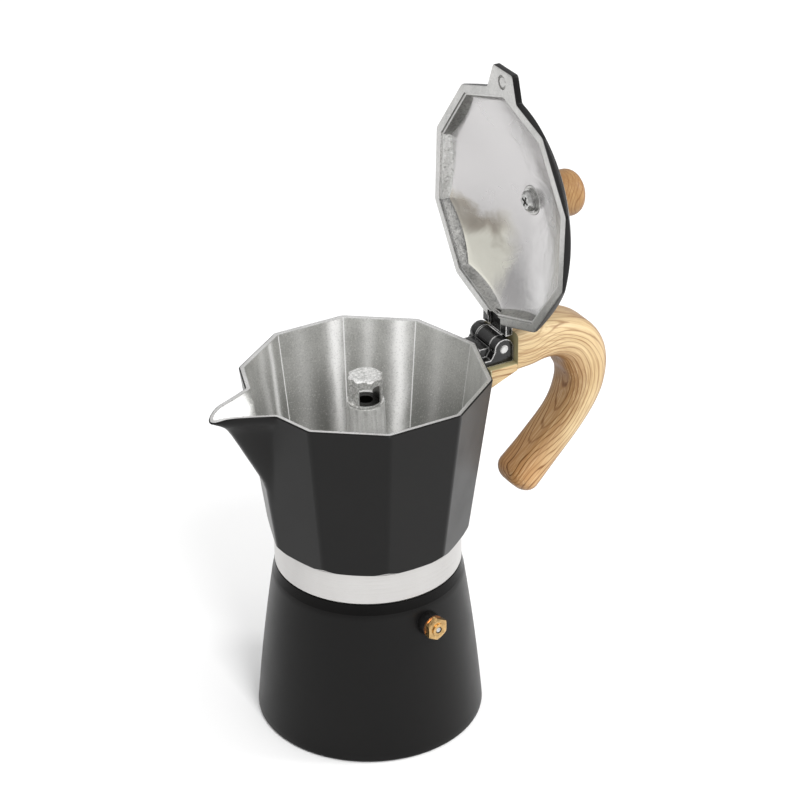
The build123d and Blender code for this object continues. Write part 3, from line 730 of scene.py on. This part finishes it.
def shell_column(angle):
    """One upright section of the chamber's shell: (radius, height, material number)."""
    black, turned, cast, bare = range(4)
    section = [(40.4, RING_BOTTOM, turned)]
    section += [(RING_RADIUS, height, turned) for height in (76.5, 80.0, 87.0, 90.4)]
    section.append((RING_RADIUS + 0.06, RING_TOP, black))
    crease = halved(lambda z: turn_reach(OUTER_TURN, z) < outer_sides(angle, z), RING_TOP, 97)
    for share, number in ((0.3, black), (0.62, black), (0.86, turned), (1.0, turned)):
        height = RING_TOP + (crease - RING_TOP) * share
        section.append((turn_reach(OUTER_TURN, height), height, number))
    top, radius = rim_edge(outer_reach, angle)
    start, end = crease + 0.22, top - 0.8
    for share in (0, 0.02, 0.08, 0.16, 0.25, 0.34, 0.43, 0.5, 0.56, 0.62, 0.68, 0.74, 0.79, 0.84, 0.88, 0.92,
                  0.95, 0.98, 1):
        height = start + (end - start) * share
        section.append((outer_reach(angle, height), height, black))
    inner_top, inner_radius = rim_edge(inner_reach, angle)
    for share, drop, number in ((0.02, 0.45, black), (0.09, 0.16, black), (0.2, 0.02, black), (0.27, 0, bare),
                                (0.45, 0, bare), (0.7, 0, bare), (0.9, 0, bare), (0.97, 0.06, bare)):
        reach = radius + (inner_radius - radius) * share
        level = top + (inner_top - top) * share
        section.append((reach, level - drop, number))
    section.append((inner_reach(angle, inner_top - 0.3), inner_top - 0.3, cast))
    start = inner_top - 0.6
    for share in (0, 0.03, 0.07, 0.12, 0.18, 0.25, 0.33, 0.41, 0.49, 0.58, 0.68, 0.78, 0.88, 0.95, 1):
        height = start + (98 - start) * share
        section.append((inner_reach(angle, height), height, cast))
    for height in (96.5, 95.2, 94.0, 93.2, 92.5, 92.1):
        section.append((inner_reach(angle, height), height, cast))
    section += [(radius, 92.0, cast) for radius in (37.3, 33, 28, 24.0)]
    section += [(24.0, 88.0, cast), (34.5, 88.0, cast), (34.5, 82.6, cast), (38.0, 82.6, cast),
                (38.0, 76.6, turned), (38.4, RING_BOTTOM, turned)]
    return section


def polar_piece(name, angles, section, materials, change, place=None):
    """An object from a section at each angle; change alters a face's material number by its angle."""
    sections = [section(angle) for angle in angles]
    rings = []
    for corners in zip(*sections):
        ring = [Vector(polar(radius, angle, z)) for angle, (radius, z, _) in zip(angles, corners)]
        rings.append([place @ point for point in ring] if place else ring)
    points, faces, bands = skin(rings, wrap=True)
    count = len(angles)
    picks = [change(sections[0][band][2], (angles[face % count] + angles[(face + 1) % count]) / 2)
             for face, band in enumerate(bands)]
    return piece(name, points, faces, materials, picks)


def make_shell():
    angles = sample_angles([(180, 25, 1.0)])
    cast, corner = 2, 4

    def change(pick, angle):
        """Painted highlights: bright lines down the inside's corners, except the one that the spout opens."""
        return corner if pick == cast and off_corner(angle) < 0.004 and abs(angle - pi) > 0.3 else pick

    materials = [BLACK, TURNED, CAST, RIM, CORNER_HIGHLIGHT_CAST]
    shell = polar_piece("chamber_shell", angles, shell_column, materials, change)
    ride(shell, "chamber", "black_coating", "upper_chamber")


COLUMN_FOOT = ((92.0, 24.4), (93.2, 21.8), (95.5, 18.4), (98.5, 15.0), (101.0, 12.2))
COLUMN_HEIGHTS = (101.8, 103, 104, 106, 110, 118, 128, 138, 145, 149, 150.5, 151.4, 152)
COLUMN_BORE = ((4.4, 152), (5.8, 103), (8, 98.5), (24, 88.02), (24.4, 88.02))


def make_column():
    """The fluted column that the coffee rises through."""
    count, flutes = 168, 12
    rings = []
    for z in [height for height, _ in COLUMN_FOOT] + list(COLUMN_HEIGHTS):
        if z < 101.6:
            radius = along(COLUMN_FOOT, z)
        else:
            radius = 10.82 - 2.82 * (z - 101.6) / 50.4
        bore = 1.3 - 0.3 * (z - 104) / 46
        fade = min(1, max(0, (z - 102) / 3), max(0, (151.4 - z) / 1.5))
        ring = []
        for i in range(count):
            turn = 2 * pi * i / count
            off = abs((turn + pi / flutes) % (2 * pi / flutes) - pi / flutes) * radius
            groove = max(0, sqrt(max(0, bore ** 2 - off ** 2)) - 0.35) * fade
            ring.append(polar(radius - groove, turn, z))
        rings.append(ring)
    for radius, z in COLUMN_BORE:
        rings.append([polar(radius, 2 * pi * i / count, z) for i in range(count)])
    points, faces, bands = skin(rings, wrap=True)
    post = piece("chamber_column", points, faces, [COLUMN_CAST], [0] * len(faces))
    ride(post, "chamber", "cast_aluminium")


def make_lug():
    """The two ears for the hinge pin, the block between them and the tenon."""
    crown = arc(HINGE_X, HINGE_Z, 4.6, 0, 188, 16)
    ear = [(50.3, 158.2), (66.4, 158.2)] + crown + [(55.4, 161.2), (50.3, 161.2)]
    floor = ((51.0, 66.3), (-8, 8), (158.25, 160.0))
    block = ((51.9, 56.9), (-6.5, 6.5), (158.3, 165.35))
    tenon = ((62, 80.9), (-9, 9), (158.5, 164.5))
    lug = plate(ear, 5.7, 10.5, HINGE_BLACK)
    combine(lug, plate(ear, -10.5, -5.7, HINGE_BLACK), "UNION")
    for sizes in (floor, block, tenon):
        combine(lug, box(*sizes, HINGE_BLACK), "UNION")
    combine(lug, rod_y(HINGE_X, HINGE_Z, 1.62, -12, 12, HINGE_BLACK), "DIFFERENCE")
    lug.name = "chamber_lug"
    bevelled(lug, 0.55, WORN_EDGE)
    tidy(lug, 40)
    ride(lug, "chamber", "black_coating")


# ---- lid, described shut and then swung open

LID_PLANE = 165.8
LID_CORNER = 54.6
DOME_RADIUS, DOME_RISE = 95.2, 17.3
TOP_RADIUS, TOP_CENTRE = 93.0, 92.0
TAB_END = 62.0
HINGE = Vector((HINGE_X, 0, HINGE_Z))
LID_OPEN = Matrix.Translation(HINGE) @ Matrix.Rotation(radians(91.5), 4, "Y") @ Matrix.Translation(-HINGE)


def lid_top(radius):
    """Height of the lid's outer dome."""
    return TOP_CENTRE + sqrt(TOP_RADIUS ** 2 - radius ** 2)


def tab_reach(angle):
    """Distance from the axis to the pull tab's outline, or 0 away from it."""
    off = abs(angle - pi)
    if off > radians(14.5):
        return 0
    if off < radians(6.2):
        return TAB_END / cos(off)
    # The tab's side runs from (48, 12.5) to (62, 7.5).
    side = (12.5 + 48 * 5 / 14) / (sin(off) + cos(off) * 5 / 14)
    end = TAB_END / cos(off)
    return min(side, end) - max(0, 1.2 - abs(side - end)) ** 2 / 4.8


def lid_column(angle):
    """One section of the shut lid, from the screw's hole inside to the screw's hole outside."""
    black, polished, wall, satin = range(4)
    centre = LID_PLANE + DOME_RISE - DOME_RADIUS
    inner = LID_CORNER - 4.5 / cos(HALF_SIDE)

    def dome(radius):
        return centre + sqrt(DOME_RADIUS ** 2 - radius ** 2)

    def cavity(height):
        return ten_sided(inner - 0.32 * (height - LID_PLANE), 0.5, angle)

    meet = halved(lambda z: z < dome(cavity(z)), LID_PLANE, LID_PLANE + 12)
    edge = cavity(meet)
    section = [(2.72, 184.6, wall), (2.72, 182.6, satin), (2.85, 182.5, satin), (6.2, 182.5, satin),
               (6.42, 182.65, wall), (6.5, dome(6.5) - 0.1, polished)]
    for radius in (7.0, 10, 14, 19, 24, 29, 34, 38.5, 42, 44.5):
        section.append((radius, dome(radius), polished))
    section += [(edge - 0.9, dome(edge - 0.9) - 0.02, polished), (edge - 0.35, meet - 0.12, wall),
                (cavity(meet - 0.8), meet - 0.8, wall)]
    low = LID_PLANE + 0.8
    for share in (0.4, 0.75, 0.95, 1):
        height = meet - 0.8 + (low + 0.12 - meet + 0.8) * share
        section.append((cavity(height), height, wall))
    step = cavity(low)
    section += [(step + 0.15, low, satin), (step + 0.95, low, wall), (step + 1.1, low - 0.15, wall),
                (step + 1.1, LID_PLANE + 0.12, satin), (step + 1.25, LID_PLANE, satin)]
    plain = ten_sided(LID_CORNER, 3.5, angle)
    reach = blend_max(plain, tab_reach(angle), 0.8)
    for share in (0.3, 0.65, 0.9):
        section.append((step + 1.25 + (reach - 0.3 - step - 1.25) * share, LID_PLANE, satin))
    section += [(reach - 0.3, LID_PLANE, satin), (reach - 0.08, LID_PLANE + 0.09, black),
                (reach, LID_PLANE + 0.32, black)]
    tab = LID_PLANE + 3.2 if tab_reach(angle) > plain - 2 else 0

    def outside(radius):
        return max(lid_top(radius), tab)

    section += [(reach, outside(reach) - 0.5, black), (reach - 0.12, outside(reach - 0.12) - 0.16, black),
                (reach - 0.45, outside(reach - 0.45), black)]
    for radius in (57.5, 54.0, 52.2):
        radius = min(radius, reach - 0.5 - (58 - radius) * 0.02)
        section.append((radius, outside(radius), black))
    return section + [(radius, lid_top(radius), black)
                      for radius in (51.0, 49.0, 45, 40, 34, 28, 22, 16, 11, 6.5, 2.8)]


LID_MATERIALS = [BLACK, POLISHED, LID_CAST, LID_RIM, PAINTED_LIGHT_LID_CAST, PAINTED_SHADE_LID_CAST]


def make_lid():
    wall, satin, pale, dark = 2, 3, 4, 5
    # Painted light on side 2 and painted shade on side 1.
    uneven = {2: pale, 1: dark}  # by the side's number, counted round from the hinge

    def change(pick, angle):
        """The sides of the cavity are not all cast equally bright."""
        # Painted light and shade: two sides of the cavity get a lighter and a darker copy of the wall's
        # material.
        return uneven.get(int(angle / (2 * HALF_SIDE)), wall) if pick == wall else pick

    angles = sample_angles([(180, 16, 0.5)])
    lid = polar_piece("lid_shell", angles, lid_column, LID_MATERIALS, change, LID_OPEN)
    slot = box((49.8, 75), (-5.3, 5.3), (LID_PLANE - 3, LID_PLANE + 1.6), BLACK, LID_OPEN)
    combine(lid, slot, "DIFFERENCE")
    hollow = [(radius, LID_PLANE + rise, number) for radius, rise, number in
              ((3.1, -3, wall), (3.1, 0.4, wall), (2.3, 0.45, satin), (2.0, 0.15, satin), (0.5, 0.1, satin))]
    dimple = revolved("dimple", hollow, LID_MATERIALS, 40, False, LID_OPEN @ Matrix.Translation((-56.5, 0, 0)))
    combine(lid, dimple, "DIFFERENCE")
    tidy(lid)
    ride(lid, "lid", "black_coating", "lid")

    outline = [(48.5, LID_PLANE + 1.6), (48.5, LID_PLANE + 3.7), (57.0, LID_PLANE + 3.7), (HINGE_X, 169.2),
               (HINGE_X, HINGE_Z), (57.6, 166.6), (57.4, LID_PLANE + 1.6)]
    arm = plate(outline, -5.3, 5.3, HINGE_BLACK, LID_OPEN)
    combine(arm, rod_y(HINGE_X, HINGE_Z, 4.3, -5.3, 5.3, HINGE_BLACK, LID_OPEN, 40), "UNION")
    for sides in ((-9.5, -5.0), (5.0, 9.5)):
        pad = box((50.9, 56.4), sides, (LID_PLANE + 0.4, LID_PLANE + 3.6), HINGE_BLACK, LID_OPEN)
        combine(arm, pad, "UNION")
    combine(arm, rod_y(HINGE_X, HINGE_Z, 1.68, -12, 12, HINGE_BLACK, LID_OPEN), "DIFFERENCE")
    arm.name = "lid_arm"
    bevelled(arm, 0.35, WORN_EDGE)
    tidy(arm, 40)
    ride(arm, "lid", "black_coating")


def add_grain(obj, place):
    """Stores each point's (along, outwards, across) in millimetres, which the wood grain follows."""
    field = obj.data.attributes.new("grain", "FLOAT_VECTOR", "POINT")
    for point, item in zip(obj.data.vertices, field.data):
        item.vector = place(point.co / MM)


def make_knob():
    wood, steel = 0, 1
    flare = ((186.3, 8.0), (190, 9.0), (194, 9.75), (199.7, 10.2))
    profile = [(3.0, 186.3, steel), (7.7, 186.3, steel), (8.0, 186.5, steel), (8.15, 187.3, wood)]
    profile += [(along(flare, z), z, wood) for z in (188.5, 190, 192, 194, 196, 198, 199.7)]
    profile += [(radius, z, wood) for radius, z in ((10.12, 200.8), (9.8, 202.0), (9.2, 203.1), (8.3, 204.1),
                                                    (7.0, 205.0), (5.2, 205.7), (3.2, 206.05), (1.0, 206.2))]
    knob = revolved("lid_knob_wood", profile, [KNOB_WOOD, DARK_STEEL], 96, False, LID_OPEN)
    back = LID_OPEN.inverted()

    def place(point):
        shut = back @ point
        return shut.x + 40, shut.z - 190, shut.y

    add_grain(knob, place)
    ride(knob, "lid", "wood_look", "lid_knob")


# ---- handle

# Centre (x, z), facing direction (x, z), half width, half depth and corner rounding of each slice.
HANDLE = (
    ((66.9, 163.2), (1, 0), 13.6, 8.7, 2.0), ((75.0, 163.4), (1, 0), 13.5, 8.9, 3.0),
    ((83.6, 163.35), (0.99, -0.14), 13.2, 8.65, 4.6), ((92.4, 161.5), (0.93, -0.37), 12.9, 9.1, 6.4),
    ((100.6, 156.65), (0.75, -0.66), 12.6, 10.4, 8.0), ((105.5, 148.6), (0.42, -0.91), 12.4, 10.9, 8.4),
    ((107.2, 139.5), (0, -1), 12.2, 9.4, 8.0), ((105.4, 130.0), (-0.38, -0.92), 11.8, 8.0, 7.2),
    ((98.8, 118.1), (-0.65, -0.76), 11.0, 6.9, 6.5), ((86.1, 104.3), (-0.7, -0.71), 10.8, 7.1, 6.5),
    ((76.4, 94.6), (-0.7, -0.71), 10.8, 7.6, 6.4),
)


def handle_values(position):
    """All seven values of a slice at a place between the slices."""
    rows = [(*centre, *facing, *sizes) for centre, facing, *sizes in HANDLE]
    return [along([(i, row[k]) for i, row in enumerate(rows)], position) for k in range(7)]


SLICE_POINTS = 36


def rounded_slice(values, shrink=1.0, advance=0.0):
    """The points of a slice, which may be shrunk or moved on in the direction that it faces."""
    x, z, dx, dz, width, depth, rounding = values
    length = hypot(dx, dz)
    dx, dz = dx / length, dz / length
    x, z = x + dx * advance, z + dz * advance
    width, depth, rounding = width * shrink, depth * shrink, min(rounding, depth - 0.3) * shrink
    points = []
    steps = SLICE_POINTS // 4
    for side, rise, start in ((1, 1, 0), (-1, 1, 90), (-1, -1, 180), (1, -1, 270)):
        for step in range(steps):
            turn = radians(start + 90 / (steps - 1) * step)
            across = side * (width - rounding) + rounding * cos(turn)
            out = rise * (depth - rounding) + rounding * sin(turn)
            points.append(Vector((x - dz * out, across, z + dx * out)))
    return points


def shelf_slice(x, low, high, half, rounding):
    """A slice of the shelf under the hinge, between two heights."""
    return rounded_slice((x, (low + high) / 2, 1, 0, half, (high - low) / 2, rounding))


def make_handle():
    wood, core, steel = range(3)
    materials = [WOOD, CORE, DARK_STEEL]
    rings = [shelf_slice(53.4, 149.8, 157.5, 13.0, 0.6), shelf_slice(53.55, 149.4, 157.95, 13.4, 0.8),
             shelf_slice(54.0, 149.3, 158.1, 13.6, 0.9), shelf_slice(60.0, 151.8, 158.1, 13.6, 0.9),
             shelf_slice(66.8, 154.5, 158.1, 13.6, 0.9)]
    cut = len(rings)
    front = handle_values(0)
    rings.append(rounded_slice(front[:4] + [13.25, 8.35, 1.7]))
    front[0] += 0.12
    rings.append(rounded_slice(front[:4] + [13.5, 8.6, 1.9]))
    steps = 7
    for i in range(1, (len(HANDLE) - 1) * steps + 1):
        values = handle_values(i / steps)
        if values[0] > 67.3 or i > steps:
            rings.append(rounded_slice(values))
    last = handle_values(len(HANDLE) - 1)
    for turn in (15, 30, 43, 55, 65, 73, 80):
        t = radians(turn)
        rings.append(rounded_slice(last, 0.30 + 0.70 * cos(t), 6.2 * sin(t)))
    points, faces, bands = skin(rings)
    shelf_top = {i for i in range(SLICE_POINTS) if rings[cut - 2][i].z > 157.9}

    def unprinted(face, band):
        return band < 2 or band in (cut - 1, cut) or band < cut and face % SLICE_POINTS in shelf_top

    picks = [core if unprinted(face, band) else wood for face, band in enumerate(bands)]
    handle = piece("handle_grip", points, faces, materials, picks, 40)
    well = revolved("well", [(4.3, 140, steel), (4.3, 156.9, steel)], materials, 40, False,
                    Matrix.Translation((74.5, 0, 0)))
    combine(handle, well, "DIFFERENCE")
    combine(handle, box((60, 81.1), (-9.1, 9.1), (158.4, 164.6), CORE), "DIFFERENCE")
    tidy(handle, 40)
    middle = [tuple(handle_values(i / 4)[:2]) for i in range((len(HANDLE) - 1) * 4 + 1)]
    line = [(53.4, 163.2)] + middle + [(68.0, 86.2)]

    def place(point):
        """The point's place along the middle line, and its distance from it."""
        best = (1e9, 0, 0)
        travelled = 0
        for (x0, z0), (x1, z1) in zip(line, line[1:]):
            dx, dz = x1 - x0, z1 - z0
            length = hypot(dx, dz)
            t = min(1, max(0, ((point.x - x0) * dx + (point.z - z0) * dz) / length ** 2))
            ox, oz = point.x - x0 - dx * t, point.z - z0 - dz * t
            out = (ox * -dz + oz * dx) / length
            off = hypot(ox, oz)
            best = min(best, (off, travelled + length * t, copysign(off, out)))
            travelled += length
        return best[1], best[2], point.y

    add_grain(handle, place)
    ride(handle, "chamber", "wood_look", "handle")


# ---- boiler

def helix_ridge(name, radius, crest, low, material):
    """One turn of thread as a closed ridge that fades at both ends."""
    pitch, root, count = 3.0, 1.26, 96
    rings = []
    for i in range(count + 1):
        turn = 2 * pi * i / count
        fade = min(1, i / 6, (count - i) / 6)
        z = low + pitch * turn / (2 * pi)
        back = radius - 0.3 * copysign(1, crest - radius)
        tip = radius + (crest - radius) * max(0.05, fade)
        corners = [(back, z - root), (tip, z - 0.19), (tip, z + 0.19), (back, z + root)]
        rings.append([polar(reach, turn, height) for reach, height in corners])
    points, faces, bands = skin(rings)
    return piece(name, points, faces, [material], [0] * len(faces))


def make_boiler():
    black, inside, neck = 0, 1, 2
    outside = [(2.0, 0.0), (18.8, 0.0), (18.9, 0.45), (21.1, 0.45), (21.2, 0.0), (30.8, 0.0), (30.9, 0.45),
               (33.1, 0.45), (33.2, 0.0), (48.4, 0.0), (49.0, 0.12), (49.53, 0.47), (49.88, 1.0)]
    outside += arc_through((50.0, 1.6), (46.5, 36.0), (41.7, 70.7), 26)[:-1] + [(41.73, 70.5)]
    step = [(41.5, 70.9), (40.85, 75.4), (40.7, 75.75)]
    cavity = [(40.3, 75.8), (35.6, 75.8), (35.6, 81.6), (35.2, 82.0), (32.9, 82.0), (32.5, 81.6), (32.5, 74.2),
              (38.9, 65.7)]
    cavity += arc_through((47.2, 6.2), (43.7, 36.0), (38.9, 65.7), 14)[-2::-1]
    cavity += [(46.6, 4.6), (44.2, 3.2), (30, 3.2), (2.0, 3.2)]
    profile = [(radius, z, number) for run, number in ((outside, black), (step, neck), (cavity, inside))
               for radius, z in run]
    boiler = revolved("boiler_shell", profile, [BOILER_BLACK, INSIDE, NECK_BLACK], 180, False)
    direction = radians(-82.5)  # towards the safety valve
    outwards = Vector((cos(direction), sin(direction), 0))
    basis = Matrix((Vector((0, 0, 1)), outwards.cross(Vector((0, 0, 1))), outwards)).transposed().to_4x4()
    place = Matrix.Translation((0, 0, 62.7)) @ basis
    sleeve = [(4.05, 39.5), (5.2, 39.5), (5.2, 46.1), (5.1, 46.3), (4.9, 46.4), (4.05, 46.4)]
    boss = revolved("boiler_boss", [(*corner, 0) for corner in sleeve], [BOILER_BLACK], 64, True, place)
    ride(boiler, "boiler", "black_coating", "boiler")
    ride(boss, "boiler", "black_coating")
    ride(helix_ridge("boiler_thread", 35.6, 36.6, 77.6, INSIDE), "boiler", "bare_aluminium")
    ride(helix_ridge("chamber_thread", 38.0, 37.0, 78.0, CAST), "chamber", "cast_aluminium")


def arc_through(first, middle, last, steps):
    """Points on the circle through three (x, z) points."""
    (ax, ay), (bx, by), (cx, cy) = first, middle, last
    d = 2 * (ax * (by - cy) + bx * (cy - ay) + cx * (ay - by))
    a, b, c = ax ** 2 + ay ** 2, bx ** 2 + by ** 2, cx ** 2 + cy ** 2
    ux = (a * (by - cy) + b * (cy - ay) + c * (ay - by)) / d
    uy = (a * (cx - bx) + b * (ax - cx) + c * (bx - ax)) / d
    radius = hypot(ax - ux, ay - uy)
    start, end = atan2(ay - uy, ax - ux), atan2(cy - uy, cx - ux)
    end += 2 * pi * round((start - end) / (2 * pi))
    turns = [start + (end - start) * i / steps for i in range(steps + 1)]
    return [(ux + radius * cos(t), uy + radius * sin(t)) for t in turns]


# ---- CAD nodes that stay

KEPT = {
    "valve_body": BRASS, "valve_seat": BRASS, "valve_plunger": STEEL, "valve_spring": STEEL,
    "valve_washer": COPPER, "funnel_basket": BARE, "funnel_tube": BARE, "funnel_plate": BARE,
    "gasket": SILICONE, "filter_plate": BARE, "column_cap": CAP_CAST, "hinge_pin": STEEL,
    "handle_screw": STEEL, "handle_washer": STEEL, "knob_screw": STEEL, "knob_washer": STEEL,
    "knob_spacer": BARE, "knob_insert": BRASS,
}


def finish_kept_nodes():
    for name, material in KEPT.items():
        slots = NODES[name].data.materials
        for index in range(len(slots)):
            slots[index] = material
        if not len(slots):
            slots.append(material)


make_camera()
make_studio()
make_shell()
make_column()
make_lug()
make_lid()
make_knob()
make_handle()
make_boiler()
finish_kept_nodes()
